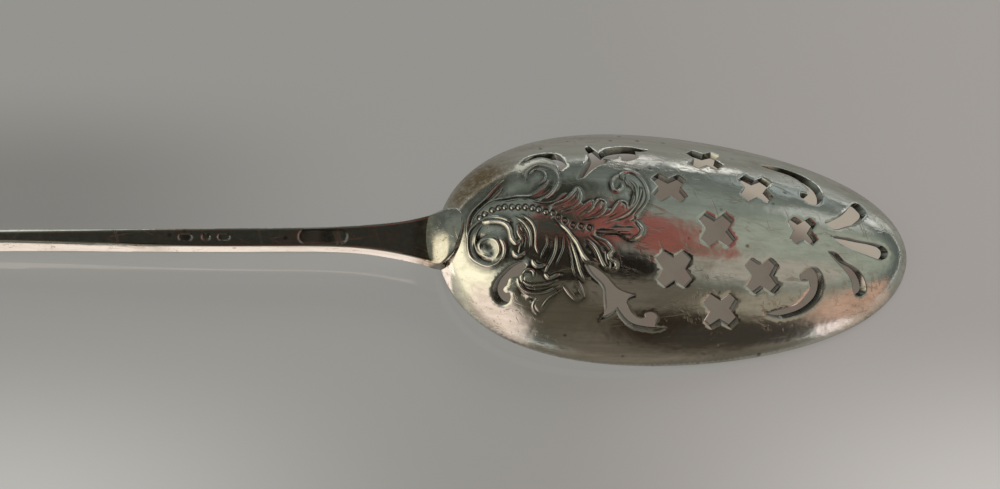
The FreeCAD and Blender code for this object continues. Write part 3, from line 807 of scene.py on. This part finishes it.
def outerSheet(loops):
    fine = flatGrid(bowlLook["fineStep"])
    fine = fine[sampleGrid(reliefNear, fine, 9.0) < bowlLook["fineReach"]]
    wide = flatGrid(bowlLook["wideStep"])
    wide = wide[sampleGrid(reliefNear, wide, 9.0) > bowlLook["wideReach"]]
    rings = wornRings(loops, bowlLook["edgeWearReach"])
    points = np.concatenate([rings, fine, wide])
    spacing = np.repeat([0.8 * bowlLook["edgeWearReach"], bowlLook["fineGap"], bowlLook["wideGap"]],
                        [len(rings), len(fine), len(wide)])
    inside = onSheet(points, loops)
    points, spacing = points[inside], spacing[inside]
    points = points[loopDistance(points, 0.3) > spacing]
    flat, faces, outlineIndex = triangulate(loops, points)
    turn, share = rollUp(flat)
    height = sampleGrid(reliefPicture, flat, 0.0)
    soot = sampleGrid(sootPicture, flat, 0.0)
    edge = loopDistance(flat, 0.5)
    worn = bowlLook["edgeWear"] * smooth(bowlLook["edgeWearReach"], 0, edge)
    height = height * smooth(0.0, bowlLook["edgeFade"], edge) - worn
    outer = bowlPoints(turn, share) + bowlNormals(turn, share) * height[:, None]
    stain = np.zeros(len(outer))
    for strength, x, y, reachX, reachY in bowlLook["stains"]:
        stain += strength * np.exp(-((outer[:, 0] - x) / reachX) ** 2 - ((outer[:, 1] - y) / reachY) ** 2)
    onEdge = np.unique(outlineIndex[len(rimLoop):])
    soot[onEdge] = np.maximum(soot[onEdge], bowlLook["edgeDarkening"])
    return outer, faces, outlineIndex, soot, stain


def innerSheet(loops):
    points = flatGrid(bowlLook["innerStep"])
    points = points[onSheet(points, loops)]
    points = points[loopDistance(points, 0.3) > bowlLook["innerGap"]]
    flat, faces, outlineIndex = triangulate(loops, points)
    inner = bowlPoints(*rollUp(flat), bowlLook["sheet"])
    # the walls of the piercings are made darker
    soot = np.zeros(len(inner))
    soot[np.unique(outlineIndex[len(rimLoop):])] = bowlLook["wallDarkening"]
    return inner, faces, outlineIndex, soot


def makeBowl():
    loops = [rimLoop] + holeLoops
    outer, faces, outlineIndex, soot, stain = outerSheet(loops)
    inner, innerFaces, innerIndex, innerDarkening = innerSheet(loops)
    base = len(outer)
    vertices = np.concatenate([outer, inner])
    allFaces = [tuple(f) for f in faces.tolist()]
    allFaces += [tuple(base + v for v in f[::-1]) for f in innerFaces.tolist()]
    sharp = []
    start = 0
    for number, loop in enumerate(loops):
        count = len(loop)
        top = outlineIndex[start:start + count]
        low = innerIndex[start:start + count] + base
        ahead = np.roll(loop, -1, axis=0) - loop
        behind = np.roll(ahead, 1, axis=0)
        turning = np.abs(np.arctan2(np.cross(behind, ahead), (behind * ahead).sum(1)))
        area = np.cross(loop, np.roll(loop, -1, axis=0)).sum()
        flip = (area > 0) == (number == 0)
        for k in range(count):
            a, b = top[k], top[(k + 1) % count]
            c, d = low[(k + 1) % count], low[k]
            allFaces.append((b, a, d, c) if flip else (a, b, c, d))
            sharp += [(a, b), (c, d)]
            if turning[k] > math.radians(35):
                sharp.append((a, d))
        start += count
    makePiece("spoonBowl", vertices, allFaces, np.concatenate([soot, innerDarkening]),
              np.concatenate([stain, 0 * innerDarkening]), sharp)
    print("bowl faces", len(allFaces))


makeBowl()


stemLook = {
    "length": 91.0,
    "neckWidth": 1.6,
    "neckHeight": 1.55,
    "endWidth": 1.35,
    "flareWidth": 4.6,
    "flareLength": 12.5,
    "flareSweep": 3.0,
    "chamferNear": 0.16,
    "chamferFar": 0.42,
    "frontNear": 0.06,  # chamfer on the side toward the viewer
    "frontFar": 0.50,
    "frontSteepness": 2.3,
    "backSteepness": 0.64,
    "chamferChange": (-36, -16),  # where the chamfers go from far to near
    "bend": 0.17,  # the stem is bent a little sideways
    "bendPlaces": ((0, -7), (-14, -40), (-88, -55)),
    "punchDepth": 0.07,
    "tarnish": 0.52,
}
overallReach = 101.0


def underside(x):
    return bowlLook["heelRise"] * (1 + x / overallReach)


def stemSize(x):
    look = stemLook
    far = np.clip((x + look["length"]) / (look["length"] - look["flareLength"]), 0, 1)
    width = look["endWidth"] + (look["neckWidth"] - look["endWidth"]) * far
    height = look["endWidth"] + (look["neckHeight"] - look["endWidth"]) * far
    near = np.clip((x + look["flareLength"]) / (look["flareLength"] + bowlLook["sheet"]), 0, 1)
    width += (look["flareWidth"] - look["neckWidth"]) * near ** look["flareSweep"]
    change = smooth(*look["chamferChange"], x)
    chamfer = look["chamferFar"] + (look["chamferNear"] - look["chamferFar"]) * change
    front = look["frontFar"] + (look["frontNear"] - look["frontFar"]) * change
    return width, height, chamfer, front


# Worn punches on the back of the stem: middle, half length, half width
punches = [(-8.9, 1.95, 0.62), (-19.6, 0.55, 0.28), (-18.0, 0.35, 0.24), (-16.6, 0.5, 0.26)]


def punchDepth(x, y):
    depth = np.zeros_like(x)
    for middle, halfLength, half in punches:
        beyond = np.maximum(np.abs(x - middle) - (halfLength - half), 0)
        depth += smooth(1.06, 0.82, np.hypot(beyond, y) / half) * (0.9 + 0.1 * np.sin(x * 2.9 + 1.3))
    return depth * stemLook["punchDepth"]


def stemRing(x):
    width, height, c, front = stemSize(x)
    a, h = width / 2, height / 2
    side = h - stemLook["frontSteepness"] * front
    corners = [(a - c, h), (a, h - stemLook["backSteepness"] * c), (a, c - h), (a - c, -h), (c - a, -h),
               (-a, min(c - h, side - 0.02)), (-a, side), (front - a, h)]
    ring = []
    for index, count in enumerate((3, 4, 3, 4, 3, 4, 3, 16)):
        start = np.array(corners[index])
        end = np.array(corners[(index + 1) % 8])
        for k in range(count):
            t = k / count
            t = 0.5 - 0.5 * math.cos(math.pi * t) if count < 10 else t
            ring.append(start + (end - start) * t)
    ring = np.array(ring)
    soften = 0.25 * (np.roll(ring, 1, axis=0) + np.roll(ring, -1, axis=0)) + 0.5 * ring
    ring = np.where((np.arange(len(ring)) > 25)[:, None], ring, soften)  # the back stays flat
    along = np.full(len(ring), x)
    rise, more, end = (smooth(*place, x) for place in stemLook["bendPlaces"])
    aside = stemLook["bend"] * (rise + more) * end
    top = ring[:, 1] > h - 1e-6
    z = underside(x) + h + ring[:, 1] - punchDepth(along, ring[:, 0]) * top
    return np.stack([along, ring[:, 0] + aside, z], 1), top


def makeStem():
    places = np.concatenate([np.arange(-stemLook["length"], -36.0, 0.9), np.arange(-36.0, -20.6, 0.3),
                             np.arange(-20.6, -6.6, 0.09), np.arange(-6.6, 0.61, 0.2)])
    rings, soot = [], []
    for x in places:
        ring, top = stemRing(x)
        rings.append(ring)
        deep = punchDepth(ring[:, 0], ring[:, 1] - 0.2) * top / stemLook["punchDepth"]
        tarnish = stemLook["tarnish"] * top * smooth(-0.7, -1.3, ring[:, 0])
        soot.append(np.clip(tarnish * (1 - 3.2 * deep * (1 - deep)) + 0.3 * deep, 0, 1))
    faces = ringFaces(rings)
    vertices = np.concatenate(rings)
    stain = 0.7 * smooth(-2.4, -1.0, vertices[:, 0])
    makePiece("spoonStem", vertices, faces, np.concatenate(soot), stain, smoothAngle=28)
    print("stem faces", len(faces))


makeStem()


dropLook = {
    "top": 3.97,
    "bend": -0.45,
    "bendLength": 0.2,
    "slope": 0.40,
    "step": 0.62,  # height of the steep part
    "stepPlace": (-0.7, 0.9),
    "edgeRound": 0.12,
    "roundShare": 0.08,  # share of the outline that the rounding takes
    "fall": (0.02, 0.11),  # toward the sides: everywhere, and more of it past the step
    "fallPlace": (-0.8, 1.2),
    "lowering": 0.12,  # where the drop goes into the stem
    "loweringPlace": (-0.55, -1.2),
    "middle": (0.3, 0.05),
    "sunk": 0.25,  # how far its wall goes into the bowl
}
dropOutline = [
    (-1.2, 1.62), (-0.5, 1.92), (0.34, 2.19), (1.1, 2.36), (1.55, 2.28), (1.84, 1.8), (1.97, 0.95),
    (1.9, 0.1), (1.69, -0.61), (1.4, -1.33), (0.89, -1.86), (0.25, -2.22), (-0.4, -2.1), (-1.2, -1.68),
]


def dropTop(x, y):
    look = dropLook
    rise = look["bendLength"] * np.logaddexp(0, (x - look["bend"]) / look["bendLength"])
    rise = look["slope"] * rise + look["step"] * smooth(*look["stepPlace"], x)
    fall = look["fall"][0] + look["fall"][1] * smooth(*look["fallPlace"], x)
    return look["top"] + rise - fall * y * y - look["lowering"] * smooth(*look["loweringPlace"], x)


def makeDrop():
    outline = spline(dropOutline + dropOutline[:1], 0.08)[:-1]
    middle = np.array(dropLook["middle"])
    rings = []
    for share in (1.0, 0.995, 0.98, 0.955, 0.92, 0.85, 0.7, 0.52, 0.34, 0.16):
        flat = middle + (outline - middle) * share
        z = dropTop(flat[:, 0], flat[:, 1])
        roundOff = max(0.0, 1 - (1 - share) / dropLook["roundShare"])
        z = z - dropLook["edgeRound"] * (1 - math.sqrt(max(0.0, 1 - roundOff ** 2)))
        rings.append(np.column_stack([flat, z]))
    below = rings[0].copy()
    turn = np.arccos(np.clip(1 - 2 * below[:, 0] / bowlLook["length"], -1, 1))
    half = np.maximum(halfWidth(turn), 1e-3)
    onBowl = bowlPoints(turn, np.clip(below[:, 1] / half, -1, 1))[:, 2] - dropLook["sunk"]
    overBowl = (below[:, 0] > 0.05) & (np.abs(below[:, 1]) < half)
    below[:, 2] = np.where(overBowl, np.minimum(onBowl, below[:, 2] - 0.2), underside(below[:, 0]) + 0.4)
    rings.insert(0, below)
    count = len(outline)
    vertices = np.concatenate(rings + [[(*middle, dropTop(*middle)), (*middle, 3.2)]])
    faces = ringFaces(rings, flip=True, capped=False)
    last = (len(rings) - 1) * count
    for k in range(count):
        n = (k + 1) % count
        faces.append((last + k, len(vertices) - 2, last + n))
        faces.append((n, len(vertices) - 1, k))
    stain = 0.25 + 0.5 * smooth(0.1, -0.6, vertices[:, 0])
    # Painted shade: the recess values paint a shadow line on the ring where the drop's wall meets the bowl, a
    # little on the ring above, and faintly on the rest of the drop over the bowl.
    recess = np.full(len(vertices), 0.05)
    recess[:count] = 0.7
    recess[count:2 * count] = 0.1
    recess *= smooth(0.2, 0.9, vertices[:, 0])
    makePiece("spoonDrop", vertices, faces, recess, stain, smoothAngle=50)


makeDrop()


pointLook = {
    "length": 10.0,
    "inStem": (1.35, 1.35),  # width and thickness, here and in the next two
    "neck": (1.45, 1.42),
    "widest": (3.0, 2.4),
    "tip": 0.35,
    "inStemLength": 0.6,
    "neckLength": 0.2,
    "barb": 1.6,
    "barbPower": 0.8,
    "bladePower": 1.15,
    "rounding": 0.16,
}
collarLook = {"width": 1.7, "length": 1.0, "inside": 0.6, "facets": 40}


def lozengeRing(x, width, thickness):
    corners = [(width / 2, 0), (0, thickness / 2), (-width / 2, 0), (0, -thickness / 2)]
    ring = []
    for index in range(4):
        start, end = np.array(corners[index]), np.array(corners[(index + 1) % 4])
        before = np.array(corners[index - 1])
        r = pointLook["rounding"] * min(width, thickness) / 3
        ahead = (end - start) / np.linalg.norm(end - start)
        back = (before - start) / np.linalg.norm(before - start)
        ring += [start + back * r, start + (ahead + back) * r * 0.3, start + ahead * r]
    ring = np.array(ring)
    middle = underside(x) + thickness / 2
    return np.column_stack([np.full(len(ring), x), ring[:, 0], middle + ring[:, 1]])


def makePoint():
    look = pointLook
    start = -stemLook["length"]
    barb, thin = look["barb"], look["neckLength"]
    neck, widest = np.array(look["neck"]), np.array(look["widest"])
    stations = [(start + look["inStemLength"], *look["inStem"]), (start - thin, *neck)]
    for t in np.linspace(0, 1, 6):
        size = neck + (widest - neck) * t ** look["barbPower"]
        stations.append((start - thin - (barb - thin) * t, *size))
    for t in np.linspace(0.06, 1, 22):
        size = look["tip"] + (widest - look["tip"]) * (1 - t ** look["bladePower"])
        stations.append((start - barb - (look["length"] - barb) * t, *size))
    rings = [lozengeRing(*s) for s in stations]
    makePiece("spoonPoint", np.concatenate(rings), ringFaces(rings, flip=True), smoothAngle=30)


def makeCollar():
    look = collarLook
    count, middle = look["facets"], 0.5 - stemLook["length"]
    rings = []
    turns = np.linspace(0, 2 * math.pi, count, endpoint=False)
    axis = underside(-stemLook["length"]) + stemLook["endWidth"] / 2
    for t in np.linspace(-1, 1, 13):
        radius = look["inside"] + (look["width"] / 2 - look["inside"]) * math.sqrt(max(0.0, 1 - t ** 4))
        rings.append(np.column_stack([np.full(count, middle + t * look["length"] / 2),
                                      radius * np.cos(turns), axis + radius * np.sin(turns)]))
    makePiece("spoonCollar", np.concatenate(rings), ringFaces(rings), smoothAngle=40)


makePoint()
makeCollar()
print("stem, drop and point made")


# Places on the table are metres; each pair is where a painted tone begins and where it is full
floorLook = {
    "reach": 3.0,
    "colour": (0.17, 0.167, 0.162, 1.0),
    "cloudColour": (0.15, 0.147, 0.14, 1.0),
    "cloudScale": 40.0,
    "cloudStrength": 0.06,
    "glow": (0.236, 0.232, 0.222),
    # painted light and shade on the table: lighter toward the front away from the bowl's middle and to the
    # right, and a painted shadow along the upper side of the stem
    "front": (0.8, (-0.004, -0.022), (0.002, 0.04)),  # strength, place across, place aside from the bowl
    "frontMiddle": 0.037,
    "right": (0.14, (0.04, 0.08)),
    "back": (-0.36, (0.03, 0.0), (-0.001, 0.003), (0.016, 0.006)),
    # painted shadow on the table under the bowl, seen through its piercings, and painted light under its tip
    "shadowUnderBowl": (0.135, 0.110, 0.088, 1.0),
    "lightUnderTip": (0.36, 0.315, 0.255, 1.0),
    "tipLight": (0.0028, 0.0056),
    "tipSlant": 0.6,
    "tipFrom": 0.058,
    "bowlMiddle": 0.0505,
    "bowlHalf": (0.0185, 0.0092),
    "bowlEdge": (1.1, 0.75),  # shares of those, squared
    "mirrored": (0.165, 0.162, 0.148, 1.0),  # what the silver sees of the table
    "mirroredFront": (0.07, 0.062, 0.048, 1.0),
    "mirroredFrontPlace": (-0.010, -0.016),
    "mirroredByStem": (1.0, 0.86, 0.78, 1.0),
    "byStem": ((0.0306, 0.0296), (-0.0006, -0.0012), (-0.0054, -0.0042)),
    "byStemWidening": (0.024, 0.010, 0.0, 0.004),
    "roughness": 0.05,
    "ior": 1.9,
}


def makeFloor():
    look = floorLook
    mesh = bpy.data.meshes.new("tableTop")
    r, low = look["reach"], -0.00002
    mesh.from_pydata([(-r, -r, low), (r, -r, low), (r, r, low), (-r, r, low)], [], [(0, 1, 2, 3)])
    floor = addObject("tableTop", mesh)
    material, tree, shader = newMaterial("paleStone")
    cloud = grouped(tree, clouds, Scale=look["cloudScale"])["Cloud"]
    clouded = maths(tree, "MULTIPLY", cloud, look["cloudStrength"])
    tree.links.new(mixColour(tree, clouded, look["colour"], look["cloudColour"]), shader["Base Color"])
    place = node(tree, "ShaderNodeSeparateXYZ", {0: objectPlace(tree)}).outputs
    x, y = place["X"], place["Y"]
    aside = maths(tree, "ABSOLUTE", maths(tree, "SUBTRACT", x, look["frontMiddle"]))

    def product(strength, *fades):
        for value, pair in fades:
            strength = maths(tree, "MULTIPLY", strength, rangeOf(tree, value, *pair))
        return strength

    # Painted light and shade on the table: lighter toward the front and to the right, and a painted shadow
    # beside the upper side of the stem.
    strength, across, sideways = look["front"]
    tone = maths(tree, "ADD", 1.0, product(strength, (y, across), (aside, sideways)))
    strength, along = look["right"]
    tone = maths(tree, "ADD", tone, product(strength, (x, along)))
    strength, along, near, far = look["back"]
    tone = maths(tree, "ADD", tone, product(strength, (x, along), (y, near), (y, far)))
    seen = node(tree, "ShaderNodeVectorMath", {0: look["glow"], "Scale": tone}, operation="SCALE").outputs[0]
    inFront = rangeOf(tree, y, *look["mirroredFrontPlace"])
    mirrored = mixColour(tree, inFront, look["mirrored"], look["mirroredFront"])
    widened = maths(tree, "ADD", y, rangeOf(tree, x, *look["byStemWidening"]))
    along, near, far = look["byStem"]
    byStem = product(1.0, (x, along), (y, near), (widened, far))
    mirrored = mixColour(tree, byStem, mirrored, look["mirroredByStem"])
    # Painted shadow under the bowl, with painted light toward the tip; the camera sees this table, while
    # reflections see the mirrored colours.
    fromMiddle = maths(tree, "SUBTRACT", x, look["bowlMiddle"])
    share = 0.0
    for distance, half in zip((fromMiddle, y), look["bowlHalf"]):
        distance = maths(tree, "DIVIDE", distance, half)
        share = maths(tree, "ADD", share, maths(tree, "MULTIPLY", distance, distance))
    slanted = maths(tree, "MULTIPLY", maths(tree, "SUBTRACT", x, look["tipFrom"]), look["tipSlant"])
    tipLight = rangeOf(tree, maths(tree, "ADD", y, slanted), *look["tipLight"])
    below = mixColour(tree, tipLight, look["shadowUnderBowl"], look["lightUnderTip"])
    under = mixColour(tree, rangeOf(tree, share, *look["bowlEdge"]), seen, below)
    direct = node(tree, "ShaderNodeLightPath").outputs["Is Camera Ray"]
    tree.links.new(mixColour(tree, direct, mirrored, under), shader["Emission Color"])
    shader["Emission Strength"].default_value = 1.0
    shader["Roughness"].default_value = look["roughness"]
    shader["IOR"].default_value = look["ior"]
    mesh.materials.append(material)


makeFloor()


# Soft patches of the room that the silver reflects: direction, inner and outer angle in degrees, colour
patches = [
    ((0.96, 0.10, 0.95), 14, 32, (0.32, 0.35, 0.29)),
    ((0.62, -0.20, 0.76), 5, 16, (0.38, 0.35, 0.30)),
    ((0.10, -0.80, 0.55), 24, 44, (0.085, 0.075, 0.052)),
    ((0.26, -0.97, 0.04), 14, 28, (0.13, 0.11, 0.085)),
    ((0.25, -0.62, 0.75), 6, 20, (0.135, 0.115, 0.09)),
    ((0.35, -0.87, 0.34), 4, 18, (0.024, 0.018, 0.012)),
    ((0.49, -0.85, 0.20), 5, 14, (0.045, 0.038, 0.030)),
    ((0.62, -0.60, 0.50), 5, 15, (0.30, 0.27, 0.21)),
    ((0.84, -0.52, 0.24), 9, 19, (0.55, 0.36, 0.27)),
    ((-0.92, -0.22, 0.22), 26, 41, (1.22, 1.14, 0.86)),
    ((-0.62, -0.77, 0.12), 8, 24, (1.0, 0.83, 0.72)),
    ((-0.04, 0.79, 0.62), 5, 18, (0.035, 0.038, 0.028)),
    ((-0.16, -0.04, 0.98), 15, 32, (0.034, 0.03, 0.023)),
    ((0.22, -0.25, 0.94), 8, 16, (0.012, 0.009, 0.007)),
    ((-0.09, -0.28, 0.96), 8, 17, (0.026, 0.021, 0.016)),
    ((0.06, 0.42, 0.90), 11, 19, (0.19, 0.065, 0.055)),
    ((0.33, 0.27, 0.90), 5, 14, (0.25, 0.085, 0.07)),
    ((0.44, 0.06, 0.90), 4, 10, (0.26, 0.09, 0.07)),
    ((-0.03, 0.37, 0.93), 7, 10.5, (0.042, 0.05, 0.04)),
    ((0.70, -0.71, 0.05), 1, 5, (1.2, 1.0, 0.95)),
    ((0.66, 0.59, 0.47), 3, 10, (0.50, 0.52, 0.49)),
    ((-0.12, 0.99, 0.07), 1.5, 6, (0.8, 0.84, 0.76)),
    ((0.70, 0.69, 0.17), 2, 9, (0.75, 0.77, 0.75)),
    ((0.49, 0.86, 0.16), 2, 8, (0.36, 0.41, 0.41)),
    ((0.34, 0.94, 0.05), 1, 3.5, (1.25, 1.25, 1.2)),
    ((0.21, 0.98, 0.07), 1, 3.5, (1.25, 1.2, 1.2)),
]
worldLook = {
    "horizon": (0.11, 0.127, 0.115, 1.0),
    "high": (0.22, 0.25, 0.22, 1.0),
    "line": (0.6, 0.63, 0.6, 1.0),  # bright line where the far wall meets the table
    "lineHeights": (0.035, 0.012, -0.02, 0.0),
    "rise": (0.15, 0.6),
    "strength": 1.0,
}


def patchGroup():
    inputs = [("Direction", (0.0, 0.0, 1.0)), ("Inner", 0.9), ("Outer", 0.7)]
    group, given, out = newGroup("softPatch", inputs, ["Mask"])
    way = node(group, "ShaderNodeTexCoord").outputs["Generated"]
    unit = vectors(group, "NORMALIZE", way)
    middle = vectors(group, "NORMALIZE", given["Direction"])
    dot = node(group, "ShaderNodeVectorMath", {0: unit, 1: middle}, operation="DOT_PRODUCT").outputs["Value"]
    group.links.new(rangeOf(group, dot, given["Outer"], given["Inner"]), out["Mask"])
    return group


def makeWorld():
    world = bpy.data.worlds.new("softRoom")
    world.use_nodes = True
    tree = world.node_tree
    patch = patchGroup()
    way = node(tree, "ShaderNodeTexCoord").outputs["Generated"]
    height = node(tree, "ShaderNodeSeparateXYZ", {0: way}).outputs["Z"]
    risen = rangeOf(tree, height, *worldLook["rise"])
    colour = mixColour(tree, risen, worldLook["horizon"], worldLook["high"])
    heights = worldLook["lineHeights"]
    line = maths(tree, "MULTIPLY", rangeOf(tree, height, *heights[:2]), rangeOf(tree, height, *heights[2:]))
    colour = mixColour(tree, line, colour, worldLook["line"])
    for direction, inner, outer, shade in patches:
        inner, outer = math.cos(math.radians(inner)), math.cos(math.radians(outer))
        mask = grouped(tree, patch, Direction=direction, Inner=inner, Outer=outer)["Mask"]
        colour = mixColour(tree, mask, colour, (*shade, 1.0))
    tree.links.new(colour, tree.nodes["Background"].inputs["Color"])
    tree.nodes["Background"].inputs["Strength"].default_value = worldLook["strength"]
    bpy.context.scene.world = world


makeWorld()


def makeLamp(name, place, size, power, colour):
    lamp = bpy.data.lights.new(name, "AREA")
    lamp.shape = "RECTANGLE"
    lamp.size, lamp.size_y = size
    lamp.energy = power
    lamp.color = colour
    holder = addObject(name, lamp)
    holder.location = place
    holder.rotation_euler = (Vector((0.03, 0, 0)) - Vector(place)).to_track_quat("-Z", "Y").to_euler()
    holder.visible_glossy = False


makeLamp("softKey", (0.25, 0.85, 0.7), (0.6, 0.4), 3.0, (1.0, 0.99, 0.97))
print("light set")


cameraLook = {
    "place": (0.0181126, -0.0827246, 0.2230341),
    "aim": (0.0367642, 0.0009227, 0.0),
    "roll": -0.0271,
    "lens": 108.0,
}


def makeCamera():
    data = bpy.data.cameras.new("photoCamera")
    data.lens = cameraLook["lens"]
    data.sensor_width = 36.0
    data.clip_start = 0.01
    place = Vector(cameraLook["place"])
    ahead = (Vector(cameraLook["aim"]) - place).normalized()
    right = ahead.cross(Vector((0, 1, 0))).normalized()
    up = right.cross(ahead)
    c, s = math.cos(cameraLook["roll"]), math.sin(cameraLook["roll"])
    right, up = c * right + s * up, c * up - s * right
    camera = addObject("photoCamera", data)
    turned = Matrix((right, up, -ahead)).transposed().to_4x4()
    turned.translation = place
    camera.matrix_world = turned
    bpy.context.scene.camera = camera


makeCamera()
bpy.context.scene.view_settings.view_transform = "Standard"
